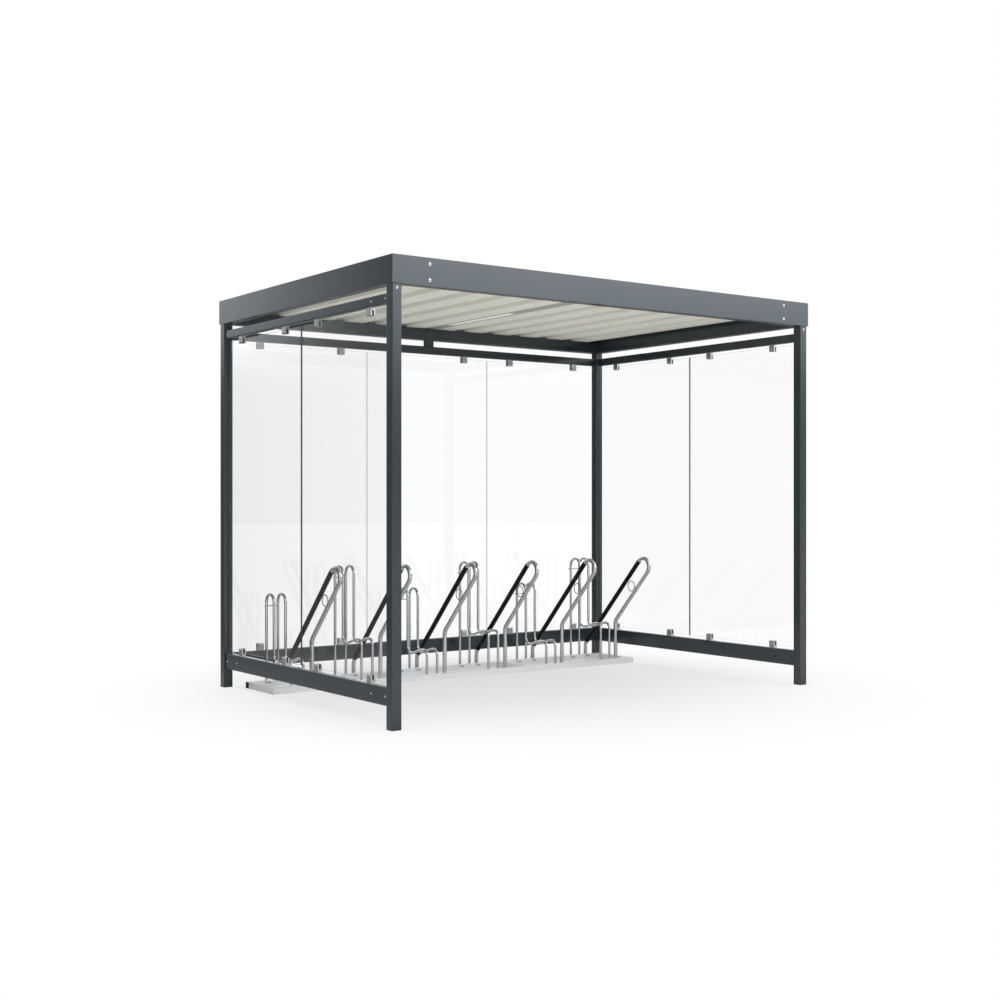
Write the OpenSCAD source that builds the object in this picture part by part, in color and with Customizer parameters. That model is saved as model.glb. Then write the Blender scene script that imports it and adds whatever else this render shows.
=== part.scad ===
// Open-fronted bicycle shelter: a flat-roofed frame of square steel tube, with
// clamped glass walls on three sides and a row of wheel holders at the back.
// Millimetres, +Z up. The origin is on the ground, in the middle of the plan,
// and the open front faces -Y.

/* [Overall] */
// Width over the roof fascia
roof_w = 3150; // [3140:5:3300]
// Depth over the roof fascia
roof_d = 2150; // [2140:5:2300]
// Height over the roof fascia
roof_h = 2480; // [2400:10:2600]

/* [Posts and roof frame] */
// Side of the square posts
post_side = 60; // [60:5:70]
// Wall of the square and rectangular tubes
tube_wall = 3; // [2:0.5:4]
// Outer corner radius of the tubes
tube_corner = 5; // [4:0.5:6]
// Height of the fascia panels
fascia_h = 150; // [140:1:160]
// Distance that the front and back fascia stand proud of the posts
fascia_reach = 10; // [8:1:14]
// Distance that the side fascia stand proud of the posts
side_fascia_reach = 3; // [3:1:14]
// Thickness of the folded fascia sheet
fascia_sheet = 2; // [1.5:0.5:3]
// Width of the fascia's turned-in top edge
fascia_top_w = 45; // [30:1:55]
// Depth of the lip that stiffens that top edge
fascia_lip_h = 18; // [10:1:25]
// Height of the roof beams
beam_h = 80; // [74:1:84]

/* [Wall rails] */
// Thickness of the wall rails
rail_t = 40; // [30:1:50]
// Height of the lower rail
low_rail_h = 100; // [80:5:120]
// Clearance of the lower rail above the ground
low_rail_z = 120; // [100:5:140]
// Height of the upper rail
top_rail_h = 53; // [40:1:60]
// Gap between the upper rail and the roof beam
top_rail_gap = 45; // [40:1:60]
// Width of the strut that hangs the back rail from the roof beam
strut_w = 60; // [40:5:80]

/* [Glass walls] */
// Thickness of the glass
glass_t = 8; // [6:1:10]
// Gap between neighbouring panes, and between a pane and a post
pane_gap = 6; // [4:1:8]
// Gap between the glass and the rails above and below it
pane_rail_gap = 18; // [14:1:22]
// Distance from a pane's edge to the middle of a clamp
clamp_inset = 200; // [150:10:250]
// Width of a glass clamp
clamp_w = 44; // [38:1:50]
// Height of a glass clamp
clamp_h = 46; // [42:1:52]
// Thickness of a glass clamp
clamp_t = 28; // [24:1:32]
// Thickness of the rubber liner in a clamp
pad_t = 1.5; // [1:0.5:2]

/* [Roof sheet] */
// Distance between the ribs of the trapezoidal sheet
rib_pitch = 246; // [240:1:250]
// Height of a rib
rib_h = 40; // [30:1:45]
// Width of a rib at its foot
rib_foot_w = 105; // [95:1:115]
// Width of a rib at its top
rib_top_w = 66; // [60:1:76]
// Thickness of the sheet
sheet_t = 1; // [0.8:0.1:1.5]

/* [Lamp] */
// Gap between the lamp's cover and the foot of the middle rib on each side
lamp_gap = 2; // [2:0.5:4]
// Thickness of the lamp's sheet
lamp_sheet = 2; // [1:0.5:2]
// Length of the light strip
light_len = 720; // [600:10:1000]
// Width of the light strip
light_w = 50; // [40:1:54]
// Thickness of the light strip
light_t = 10; // [6:1:16]
// Distance of the light strip's middle behind the middle of the roof
light_shift = 390; // [300:5:450]

/* [Cycle rack] */
// Distance between neighbouring cycle stations
station_pitch = 500; // [480:5:500]
// Distance from the middle of the plan to the left end of the rack
rack_left = 1465; // [1440:5:1480]
// Length of the rack
rack_len = 2925; // [2880:5:2940]
// Distance from the left end of a section to the middle of its first wheel slot
slot_offset = 175; // [160:1:185]
// Distance from a wheel slot to its leaning hoop
hoop_offset = 100; // [95:1:120]
// Distance between the two bars of a wheel holder
slot_w = 81; // [76:1:86]
// Diameter of the wheel holder bars
bar_d = 18; // [14:1:20]
// Diameter of the leaning hoop tube
hoop_d = 28; // [26:1:30]
// Outer diameter of the sleeve on a leaning hoop
sleeve_d = 32; // [32:1:36]
// Depth of the rack over its two ground rails
rack_d = 400; // [390:1:410]
// Distance from the middle of the plan to the front of the rack
rack_y = 515; // [505:1:525]
// Height of the rack's ground rails
ground_rail_h = 40; // [35:1:45]
// Depth of one ground rail
ground_rail_d = 50; // [45:1:60]
// Wall of the ground rails
ground_rail_wall = 3; // [2:0.5:4]
// Height of a low wheel holder
low_holder_top = 606; // [590:1:640]
// Height of a high wheel holder
high_holder_top = 773; // [740:1:790]
// Height of a low cradle
low_cradle_z = 168; // [150:1:200]
// Height of a high cradle
high_cradle_z = 268; // [250:1:300]

/* [Hidden] */
$fn = 48;

STEEL = [0.23, 0.25, 0.28];
ZINC = [0.74, 0.75, 0.76];
SHEET = [0.78, 0.77, 0.74];
GLASS = [0.82, 0.88, 0.90, 0.35];
RUBBER = [0.10, 0.10, 0.11];
LIGHT = [0.97, 0.97, 0.95];

LEFT = -1;
RIGHT = 1;
FRONT = -1;
BACK = 1;

// Posts and roof frame
post_x = roof_w / 2 - side_fascia_reach - post_side / 2;
post_y = roof_d / 2 - fascia_reach - post_side / 2;
clear_w = 2 * post_x - post_side;
clear_d = 2 * post_y - post_side;
post_h = roof_h - fascia_h;
beam_top = post_h + beam_h;

// Wall rails
low_rail_top = low_rail_z + low_rail_h;
top_rail_z = post_h - top_rail_gap - top_rail_h;

// Glass
back_panes = 3;
side_panes = 2;
back_pane_w = (clear_w - (back_panes + 1) * pane_gap) / back_panes;
side_pane_w = (clear_d - (side_panes + 1) * pane_gap) / side_panes;
pane_z = low_rail_top + pane_rail_gap;
pane_h = top_rail_z - pane_rail_gap - pane_z;
clamp_slot_t = glass_t + 2 * pad_t;
clamp_corner = 6;

// Roof sheet, which rests on the front and back beams, and the lamp in its middle rib
sheet_margin = 5;
sheet_w = clear_w - 2 * sheet_margin;
sheet_len = clear_d + 2 * (post_side - sheet_margin);
ribs_a_side = floor((sheet_w + rib_foot_w) / (2 * rib_pitch));
lamp_len = clear_d - 20;
lamp_w = rib_foot_w - 2 * lamp_gap;

// Rack
sections = 3;
stations_a_section = 2;
stations = sections * stations_a_section;
section_pitch = stations_a_section * station_pitch;
section_joint = 2;
front_rail_y = rack_y + ground_rail_d / 2;
back_rail_y = rack_y + rack_d - ground_rail_d / 2;
holder_gap = 108;
cradle_r = 40;
dip_turn = acos(0.96);
dip_r = 80;
dip_run = 90;
crest_run = 20;
end_r = 35;
cradle_rise = 2 * dip_r * (1 - cos(dip_turn)) + dip_run * sin(dip_turn);
cradle_run = back_rail_y - front_rail_y - holder_gap - cradle_r - crest_run - end_r
    - 2 * dip_r * sin(dip_turn) - dip_run * cos(dip_turn);

// Leaning hoops: the turn's sine and cosine are short decimals, so bends and runs meet exactly
lean_turn = acos(0.72414);
hoop_gap = 118;
hoop_knee_z = 318;
hoop_top_z = 784;
knee_r = 60;
knee_cut = knee_r * tan(lean_turn / 2);
hoop_rise = hoop_top_z - hoop_gap / 2 * (1 + sin(lean_turn)) - hoop_knee_z;
hoop_front_run = hoop_rise / cos(lean_turn) - knee_cut;
hoop_back_top_y = front_rail_y - hoop_rise * tan(lean_turn) + hoop_gap * cos(lean_turn);
hoop_fall = (back_rail_y - hoop_back_top_y) / tan(lean_turn);
hoop_back_run = hoop_fall / cos(lean_turn) - knee_cut;
hoop_heel_z = hoop_knee_z + hoop_rise + hoop_gap * sin(lean_turn) - hoop_fall;
sleeve_gap = 4;

// Lock loops: a ring on the front leg of a hoop, and a bow behind the rear legs of a wheel holder
wire_d = 6;
ring_r = 36;
ring_at = 285;
bow_r = 14;
bow_reach = 16;
bow_drop = 90;

// Outline of a rectangle with rounded corners, each corner an arc of five points
function rounded_points(w, h, r) = [
    for (q = [0 : 3])
        for (k = [0 : 4])
            let (
                a = 90 * q + 22.5 * k,
                sx = q == 0 || q == 3 ? 1 : -1,
                sy = q < 2 ? 1 : -1
            )
            [sx * (w / 2 - r) + r * cos(a), sy * (h / 2 - r) + r * sin(a)]
];

// Cross-section of a rectangular hollow tube
module tube_section(w, h) {
    inner_corner = max(tube_corner - tube_wall, 1);
    difference() {
        polygon(rounded_points(w, h, tube_corner));
        polygon(rounded_points(w - 2 * tube_wall, h - 2 * tube_wall, inner_corner));
    }
}

// Tube that lies along X, centred on the origin: depth along Y, height along Z
module tube_along_x(len, depth, height) {
    rotate([90, 0, 90])
        translate([0, 0, -len / 2])
            linear_extrude(len)
                tube_section(depth, height);
}

// Tube that lies along Y, centred on the origin
module tube_along_y(len, depth, height) {
    rotate([0, 0, 90])
        tube_along_x(len, depth, height);
}

// Straight stretch of a round bar, along the way the bar is heading; what follows starts at its end
module run(len, d) {
    if (d > 0)
        rotate([-90, 0, 0])
            cylinder(d = d, h = len);
    translate([0, len, 0])
        children();
}

// Bend of a round bar, to the left for a positive turn; what follows starts at its end
module bend(turn, r, d) {
    side = turn > 0 ? 1 : -1;
    translate([-side * r, 0, 0]) {
        if (d > 0)
            rotate([0, 0, turn > 0 ? 0 : 180 + turn])
                ring_wedge(abs(turn), r, d);
        rotate([0, 0, turn])
            translate([side * r, 0, 0])
                children();
    }
}

// Part of a round ring between two planes through its axis
module ring_wedge(turn, r, d) {
    reach = 1000;
    intersection() {
        rotate_extrude()
            translate([r, 0])
                circle(d = d);
        translate([0, 0, -d])
            linear_extrude(2 * d)
                polygon([[0, 0], [reach, 0], reach * [cos(turn), sin(turn)]]);
    }
}

// Foot of a bent bar on the rack: the bar heads up, and bends to the left go to the front
module upright_at(x, y) {
    translate([x, y, ground_rail_h])
        rotate([90, 0, 90])
            children();
}

module post(side_x, side_y) {
    color(STEEL)
        translate([side_x * post_x, side_y * post_y, 0])
            linear_extrude(post_h)
                tube_section(post_side, post_side);
}

// Front and back roof beams lie between the side beams
module cross_beam(side_y) {
    color(STEEL)
        translate([0, side_y * post_y, post_h + beam_h / 2])
            tube_along_x(clear_w, post_side, beam_h);
}

// Side roof beams run over the tops of the posts from front to back
module side_beam(side_x) {
    color(STEEL)
        translate([side_x * post_x, 0, post_h + beam_h / 2])
            tube_along_y(2 * post_y + post_side, post_side, beam_h);
}

// Folded fascia section, drawn with its outer face at x = 0 and the shelter to its right
module fascia_section(reach) {
    square([fascia_sheet, fascia_h]);
    square([reach, fascia_sheet]);
    translate([0, fascia_h - fascia_sheet])
        square([fascia_top_w, fascia_sheet]);
    translate([fascia_top_w - fascia_sheet, fascia_h - fascia_lip_h])
        square([fascia_sheet, fascia_lip_h]);
}

// Fascia panel at the front, for a side of the given length, with mitred ends
module fascia_panel(len, out, reach) {
    half = len / 2;
    miter = fascia_top_w + 1;
    intersection() {
        translate([-half, -out, post_h])
            rotate([90, 0, 90])
                linear_extrude(len)
                    fascia_section(reach);
        translate([0, -out, post_h - 1])
            linear_extrude(fascia_h + 2)
                polygon([[-half, 0], [half, 0], [half - miter, miter], [-half + miter, miter]]);
    }
}

module fascia_front() {
    color(STEEL)
        fascia_panel(roof_w, roof_d / 2, fascia_reach);
}

module fascia_back() {
    color(STEEL)
        rotate([0, 0, 180])
            fascia_panel(roof_w, roof_d / 2, fascia_reach);
}

module fascia_side(side_x) {
    color(STEEL)
        rotate([0, 0, side_x * 90])
            fascia_panel(roof_d, roof_w / 2, side_fascia_reach);
}

// Section that lies under the roof from front to back: its x runs across, its y up from the sheet's underside
module along_roof(len, middle_y) {
    translate([0, middle_y + len / 2, beam_top])
        rotate([90, 0, 0])
            linear_extrude(len)
                children();
}

// Points of the sheet's underside or, moved out by the sheet's thickness, its top side
function rib_points(lift, spread) = [
    for (k = [-ribs_a_side : ribs_a_side])
        for (p = [[-rib_foot_w / 2 - spread, 0], [-rib_top_w / 2 - spread, rib_h],
                  [rib_top_w / 2 + spread, rib_h], [rib_foot_w / 2 + spread, 0]])
            [k * rib_pitch + p[0], p[1] + lift]
];

// The same points with the outermost ribs cut off at the sheet's edges, on their tops
function sheet_side_points(lift, spread) =
    let (pts = rib_points(lift, spread))
    [
        [-sheet_w / 2, rib_h + lift],
        for (i = [2 : len(pts) - 3]) pts[i],
        [sheet_w / 2, rib_h + lift]
    ];

function reversed(pts) = [for (i = [len(pts) - 1 : -1 : 0]) pts[i]];

module roof_sheet() {
    flank_run = (rib_foot_w - rib_top_w) / 2;
    spread = sheet_t * (norm([flank_run, rib_h]) - flank_run) / rib_h;
    color(SHEET)
        along_roof(sheet_len, 0)
            polygon([each sheet_side_points(0, 0), each reversed(sheet_side_points(sheet_t, spread))]);
}

// Channel in the middle rib: its flat cover is flush with the sheet and open where the light strip
// sits, and its two webs hang from the top of the rib
module lamp_channel() {
    web_x = light_w / 2 + lamp_sheet;
    color(SHEET)
        difference() {
            along_roof(lamp_len, 0) {
                translate([-lamp_w / 2, 0])
                    square([lamp_w, lamp_sheet]);
                for (side = [-1, 1])
                    translate([side * web_x - lamp_sheet / 2, 0])
                        square([lamp_sheet, rib_h]);
            }
            along_roof(light_len, light_shift)
                translate([-light_w / 2, -1])
                    square([light_w, lamp_sheet + 2]);
        }
}

module lamp_diffuser() {
    color(LIGHT)
        along_roof(light_len, light_shift)
            translate([-light_w / 2, 0])
                square([light_w, light_t]);
}

module side_rail(side_x, z, height) {
    color(STEEL)
        translate([side_x * post_x, 0, z + height / 2])
            tube_along_y(clear_d, rail_t, height);
}

module lower_rail_back() {
    color(STEEL)
        translate([0, post_y, low_rail_z + low_rail_h / 2])
            tube_along_x(clear_w, rail_t, low_rail_h);
}

// The back rail hangs from the roof beam by a short strut in its middle
module upper_rail_back() {
    color(STEEL)
        translate([0, post_y, top_rail_z]) {
            translate([0, 0, top_rail_h / 2])
                tube_along_x(clear_w, rail_t, top_rail_h);
            translate([-strut_w / 2, -rail_t / 2, top_rail_h])
                cube([strut_w, rail_t, top_rail_gap]);
        }
}

// Place of a pane's near edge along its wall
function pane_start(wall_len, panes, pane_w, i) =
    -wall_len / 2 + pane_gap + i * (pane_w + pane_gap);

module side_pane(side_x, i) {
    color(GLASS)
        translate([side_x * post_x - glass_t / 2, pane_start(clear_d, side_panes, side_pane_w, i), pane_z])
            cube([glass_t, side_pane_w, pane_h]);
}

module back_pane(i) {
    color(GLASS)
        translate([pane_start(clear_w, back_panes, back_pane_w, i), post_y - glass_t / 2, pane_z])
            cube([back_pane_w, glass_t, pane_h]);
}

// Places of the clamps along a wall: two on every pane
function clamp_places(wall_len, panes, pane_w) = [
    for (i = [0 : panes - 1])
        for (at = [clamp_inset, pane_w - clamp_inset])
            pane_start(wall_len, panes, pane_w, i) + at
];

// Clamp section across the wall: rounded at the glass end, with the slot open upwards
module clamp_section() {
    difference() {
        union() {
            translate([-clamp_t / 2, 0])
                square([clamp_t, clamp_h - clamp_corner]);
            translate([-clamp_t / 2 + clamp_corner, 0])
                square([clamp_t - 2 * clamp_corner, clamp_h]);
            for (side = [-1, 1])
                translate([side * (clamp_t / 2 - clamp_corner), clamp_h - clamp_corner])
                    circle(r = clamp_corner);
        }
        translate([-clamp_slot_t / 2, pane_rail_gap - pad_t])
            square([clamp_slot_t, clamp_h]);
    }
}

// Rubber liner between a clamp's jaws and the glass edge
module pad_section() {
    difference() {
        translate([-clamp_slot_t / 2, pane_rail_gap - pad_t])
            square([clamp_slot_t, clamp_h - pane_rail_gap]);
        translate([-glass_t / 2, pane_rail_gap])
            square([glass_t, clamp_h]);
    }
}

// Puts a clamp section on the lower and upper rails at each place along a wall that runs in X
module along_wall(places) {
    for (x = places) {
        translate([x - clamp_w / 2, 0, low_rail_top])
            rotate([90, 0, 90])
                linear_extrude(clamp_w)
                    children();
        translate([x - clamp_w / 2, 0, top_rail_z])
            rotate([-90, 0, -90])
                linear_extrude(clamp_w)
                    children();
    }
}

module side_clamps(side_x) {
    color(ZINC)
        translate([side_x * post_x, 0, 0])
            rotate([0, 0, 90])
                along_wall(clamp_places(clear_d, side_panes, side_pane_w))
                    clamp_section();
}

module back_clamps() {
    color(ZINC)
        translate([0, post_y, 0])
            along_wall(clamp_places(clear_w, back_panes, back_pane_w))
                clamp_section();
}

module clamp_pads() {
    color(RUBBER) {
        for (side_x = [LEFT, RIGHT])
            translate([side_x * post_x, 0, 0])
                rotate([0, 0, 90])
                    along_wall(clamp_places(clear_d, side_panes, side_pane_w))
                        pad_section();
        translate([0, post_y, 0])
            along_wall(clamp_places(clear_w, back_panes, back_pane_w))
                pad_section();
    }
}

// Left end and length of a rack section; the last one is cut to the rack's length
function section_x(s) = s * section_pitch - rack_left;
function section_len(s) = min(section_pitch, rack_len - s * section_pitch) - section_joint;

function slot_x(i) = i * station_pitch + slot_offset - rack_left;
function hoop_x(i) = slot_x(i) + hoop_offset;

// Ground rail of the rack: an inverted channel, in one length for each section
module ground_rail(y) {
    color(ZINC)
        for (s = [0 : sections - 1])
            translate([section_x(s), y, 0])
                rotate([90, 0, 90])
                    linear_extrude(section_len(s))
                        difference() {
                            translate([-ground_rail_d / 2, 0])
                                square([ground_rail_d, ground_rail_h]);
                            translate([-ground_rail_d / 2 + ground_rail_wall, -1])
                                square([ground_rail_d - 2 * ground_rail_wall,
                                        ground_rail_h - ground_rail_wall + 1]);
                        }
}

// Angles that tie the two ground rails together near the ends of each section
module rack_cross_members() {
    member_len = rack_d - 2 * ground_rail_d;
    member_w = 40;
    color(ZINC)
        for (s = [0 : sections - 1])
            for (x = [section_x(s), section_x(s) + section_len(s) - member_w])
                translate([x, rack_y + ground_rail_d, 0])
                    difference() {
                        cube([member_w, member_len, ground_rail_h]);
                        translate([ground_rail_wall, -1, -1])
                            cube([member_w - 2 * ground_rail_wall, member_len + 2,
                                  ground_rail_h - ground_rail_wall + 1]);
                    }
}

// Wheel holder bar: up from the back rail, over a tight bend, down to the cradle,
// forward over its raised end and down to the front rail
module holder_bar(top_z, cradle_z) {
    top_r = holder_gap / 2;
    shoulder_z = top_z - bar_d / 2 - top_r;
    run(shoulder_z - ground_rail_h, bar_d)
        bend(90, top_r, bar_d)
            bend(90, top_r, bar_d)
                run(shoulder_z - cradle_z - cradle_r, bar_d)
                    bend(-90, cradle_r, bar_d)
                        run(cradle_run, bar_d)
                            bend(-dip_turn, dip_r, bar_d)
                                run(dip_run, bar_d)
                                    bend(dip_turn, dip_r, bar_d)
                                        run(crest_run, bar_d)
                                            bend(90, end_r, bar_d)
                                                run(cradle_z + cradle_rise - end_r - ground_rail_h, bar_d);
}

// The two bars of every other station
module wheel_holders(first, top_z, cradle_z) {
    color(ZINC)
        for (i = [first : 2 : stations - 1])
            for (side = [-1, 1])
                upright_at(slot_x(i) + side * slot_w / 2, back_rail_y)
                    holder_bar(top_z, cradle_z);
}

// Front leg of a leaning hoop: up from the front rail, then leaning forward
module hoop_front_leg(tube_d) {
    run(hoop_knee_z - knee_cut - ground_rail_h, tube_d)
        bend(lean_turn, knee_r, tube_d)
            children();
}

// Leaning hoop: up the front leg, round the top and back down to the back rail;
// a tube or a sleeve of no diameter is left out
module hoop_path(tube_d, cover_d) {
    hoop_front_leg(tube_d)
        run(hoop_front_run, tube_d)
            bend(-90, hoop_gap / 2, tube_d)
                bend(-90, hoop_gap / 2, tube_d) {
                    run(hoop_back_run, tube_d)
                        bend(-lean_turn, knee_r, tube_d)
                            run(hoop_heel_z - knee_cut - ground_rail_h, tube_d);
                    run(sleeve_gap, 0)
                        sleeve(hoop_back_run - 2 * sleeve_gap, cover_d);
                }
}

module sleeve(len, d) {
    if (d > 0)
        rotate([-90, 0, 0])
            difference() {
                cylinder(d = d, h = len);
                translate([0, 0, -1])
                    cylinder(d = hoop_d, h = len + 2);
            }
}

module leaning_hoop(i) {
    color(ZINC)
        upright_at(hoop_x(i), front_rail_y)
            hoop_path(hoop_d, 0);
}

// Soft sleeve on the back leg of every leaning hoop
module hoop_sleeves() {
    color(RUBBER)
        for (i = [0 : stations - 1])
            upright_at(hoop_x(i), front_rail_y)
                hoop_path(0, sleeve_d);
}

// Ring that lies against the inner side of a hoop's front leg
module hoop_ring() {
    hoop_front_leg(0)
        run(ring_at, 0)
            translate([hoop_d / 2 + wire_d / 2 + ring_r, 0, 0])
                rotate_extrude()
                    translate([ring_r, 0])
                        circle(d = wire_d);
}

// Bow of wire from one rear leg of a wheel holder to the other, drawn heading to the back
module holder_bow() {
    run(bow_reach, wire_d)
        bend(-90, bow_r, wire_d)
            run(slot_w - 2 * bow_r, wire_d)
                bend(-90, bow_r, wire_d)
                    run(bow_reach, wire_d);
}

module lock_loops() {
    color(ZINC)
        for (i = [0 : stations - 1]) {
            bow_z = (i % 2 == 0 ? low_holder_top : high_holder_top) - bow_drop;
            upright_at(hoop_x(i), front_rail_y)
                hoop_ring();
            translate([slot_x(i) - slot_w / 2, back_rail_y + bar_d / 2, bow_z])
                holder_bow();
        }
}

post(LEFT, FRONT);  // post_front_left
post(RIGHT, FRONT);  // post_front_right
post(LEFT, BACK);  // post_back_left
post(RIGHT, BACK);  // post_back_right
cross_beam(FRONT);  // roof_beam_front
cross_beam(BACK);  // roof_beam_back
side_beam(LEFT);  // roof_beam_left
side_beam(RIGHT);  // roof_beam_right
fascia_front();
fascia_back();
fascia_side(LEFT);  // fascia_left
fascia_side(RIGHT);  // fascia_right
roof_sheet();
lamp_channel();
lamp_diffuser();
side_rail(LEFT, low_rail_z, low_rail_h);  // lower_rail_left
side_rail(RIGHT, low_rail_z, low_rail_h);  // lower_rail_right
lower_rail_back();
side_rail(LEFT, top_rail_z, top_rail_h);  // upper_rail_left
side_rail(RIGHT, top_rail_z, top_rail_h);  // upper_rail_right
upper_rail_back();
for (i = [0 : side_panes - 1]) {
    side_pane(LEFT, i);
    side_pane(RIGHT, i);
}
for (i = [0 : back_panes - 1])
    back_pane(i);
side_clamps(LEFT);  // clamps_left
side_clamps(RIGHT);  // clamps_right
back_clamps();  // clamps_back
clamp_pads();
ground_rail(front_rail_y);  // rack_front_rail
ground_rail(back_rail_y);  // rack_back_rail
rack_cross_members();
wheel_holders(0, low_holder_top, low_cradle_z);  // low_wheel_holders
wheel_holders(1, high_holder_top, high_cradle_z);  // high_wheel_holders
for (i = [0 : stations - 1])
    leaning_hoop(i);
hoop_sleeves();
lock_loops();
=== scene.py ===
"""Finishes, fasteners and studio for the bike shelter.

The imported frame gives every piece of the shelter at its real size. This script dresses those pieces, adds
the bolts, screws, weld beads and closing strips that the frame lacks, and sets the shelter on a pale floor.
Metres, +Z up; the open front faces -Y.
"""

import logging
import math
from dataclasses import dataclass
from enum import Enum

import bpy
import numpy as np
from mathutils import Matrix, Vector

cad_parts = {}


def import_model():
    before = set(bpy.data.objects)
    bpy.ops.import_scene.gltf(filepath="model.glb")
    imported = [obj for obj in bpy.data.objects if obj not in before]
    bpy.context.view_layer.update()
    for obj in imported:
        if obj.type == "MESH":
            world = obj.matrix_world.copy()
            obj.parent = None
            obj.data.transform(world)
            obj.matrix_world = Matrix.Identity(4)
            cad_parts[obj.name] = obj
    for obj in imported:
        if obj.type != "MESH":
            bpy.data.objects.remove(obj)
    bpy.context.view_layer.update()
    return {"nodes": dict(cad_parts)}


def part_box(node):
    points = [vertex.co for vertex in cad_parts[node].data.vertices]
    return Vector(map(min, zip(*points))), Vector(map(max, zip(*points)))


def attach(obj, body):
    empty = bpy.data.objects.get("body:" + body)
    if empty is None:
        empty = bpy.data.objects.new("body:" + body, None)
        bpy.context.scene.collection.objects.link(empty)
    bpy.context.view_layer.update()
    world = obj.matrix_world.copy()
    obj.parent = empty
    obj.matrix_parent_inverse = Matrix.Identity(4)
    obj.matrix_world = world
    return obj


LOG = logging.getLogger("bike_shelter")
BODY = "root"
SHARP_EDGE = math.radians(32)

Array = np.ndarray
Colour = tuple[float, float, float, float]
Point = tuple[float, float, float]
Span = tuple[float, float]
Nodes = dict[str, bpy.types.Object]
BoltEnds = tuple[Array, Array, Array]

EVEN = (1.0, 1.0, 1.0)
UP = (0.0, 0.0, 1.0)
WHITE = (1.0, 1.0, 1.0, 1.0)
ANY_HEIGHT = (-2.0, -1.0)
# A wave texture of scale 1 turns by this many radians a metre
WAVE_TURN = 20.0


def display(red: int, green: int, blue: int) -> Colour:
    """Turns a colour as a screen shows it into linear light.

    Each channel's share of 255 follows the screen's own curve: a power of 2.4 above a short straight foot.

    Args:
        red: Red, from 0 to 255.
        green: Green, from 0 to 255.
        blue: Blue, from 0 to 255.

    Returns:
        The linear colour, with full cover.
    """
    share = np.array((red, green, blue)) / 255.0
    light = np.where(share > 0.04045, ((share + 0.055) / 1.055) ** 2.4, share / 12.92)
    return (*light.tolist(), 1.0)


def shaded(colour: Colour, factor: float) -> Colour:
    """Makes a colour darker or lighter by a factor, and keeps its cover."""
    return (colour[0] * factor, colour[1] * factor, colour[2] * factor, colour[3])


# Shader maths


class Signal:
    """One output of a shader tree, with the arithmetic that the finishes are written in."""

    def __init__(self, shader: "Shader", socket: bpy.types.NodeSocket) -> None:
        """Wraps one output socket of a shader."""
        self.shader = shader
        self.socket = socket

    def _math(self, operation: str, first: "Operand", second: "Operand") -> "Signal":
        """Adds a Math node that works on two values."""
        return self.shader.node("ShaderNodeMath", {"operation": operation}, {0: first, 1: second})

    def __add__(self, other: "Operand") -> "Signal":
        """Adds a value."""
        return self._math("ADD", self, other)

    def __radd__(self, other: float) -> "Signal":
        """Is added to a number."""
        return self._math("ADD", other, self)

    def __neg__(self) -> "Signal":
        """Turns the sign."""
        return 0.0 - self

    def __rsub__(self, other: float) -> "Signal":
        """Is taken away from a number."""
        return self._math("SUBTRACT", other, self)

    def __mul__(self, other: "Operand") -> "Signal":
        """Multiplies by a value."""
        return self._math("MULTIPLY", self, other)

    def __rmul__(self, other: float) -> "Signal":
        """Multiplies a number."""
        return self._math("MULTIPLY", other, self)

    def __pow__(self, other: "Operand") -> "Signal":
        """Raises to a power."""
        return self._math("POWER", self, other)

    def __abs__(self) -> "Signal":
        """Drops the sign."""
        return self._math("ABSOLUTE", self, 0.0)

    def below(self, limit: float) -> "Signal":
        """Is 1 where the value is under the limit, and 0 elsewhere."""
        return self._math("LESS_THAN", self, limit)

    def at_most(self, limit: float) -> "Signal":
        """Holds the value at or under the limit."""
        return self._math("MINIMUM", self, limit)

    def angle(self, other: "Signal") -> "Signal":
        """Gives the angle whose tangent is this value over the other one, in radians."""
        return self._math("ARCTAN2", self, other)

    def rise(self, low: float, high: float) -> "Signal":
        """Climbs smoothly from 0 at the low value to 1 at the high one."""
        limits = {"Value": self, "From Min": low, "From Max": high}
        return self.shader.node("ShaderNodeMapRange", {"interpolation_type": "SMOOTHSTEP"}, limits)


Operand = Signal | float


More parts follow.
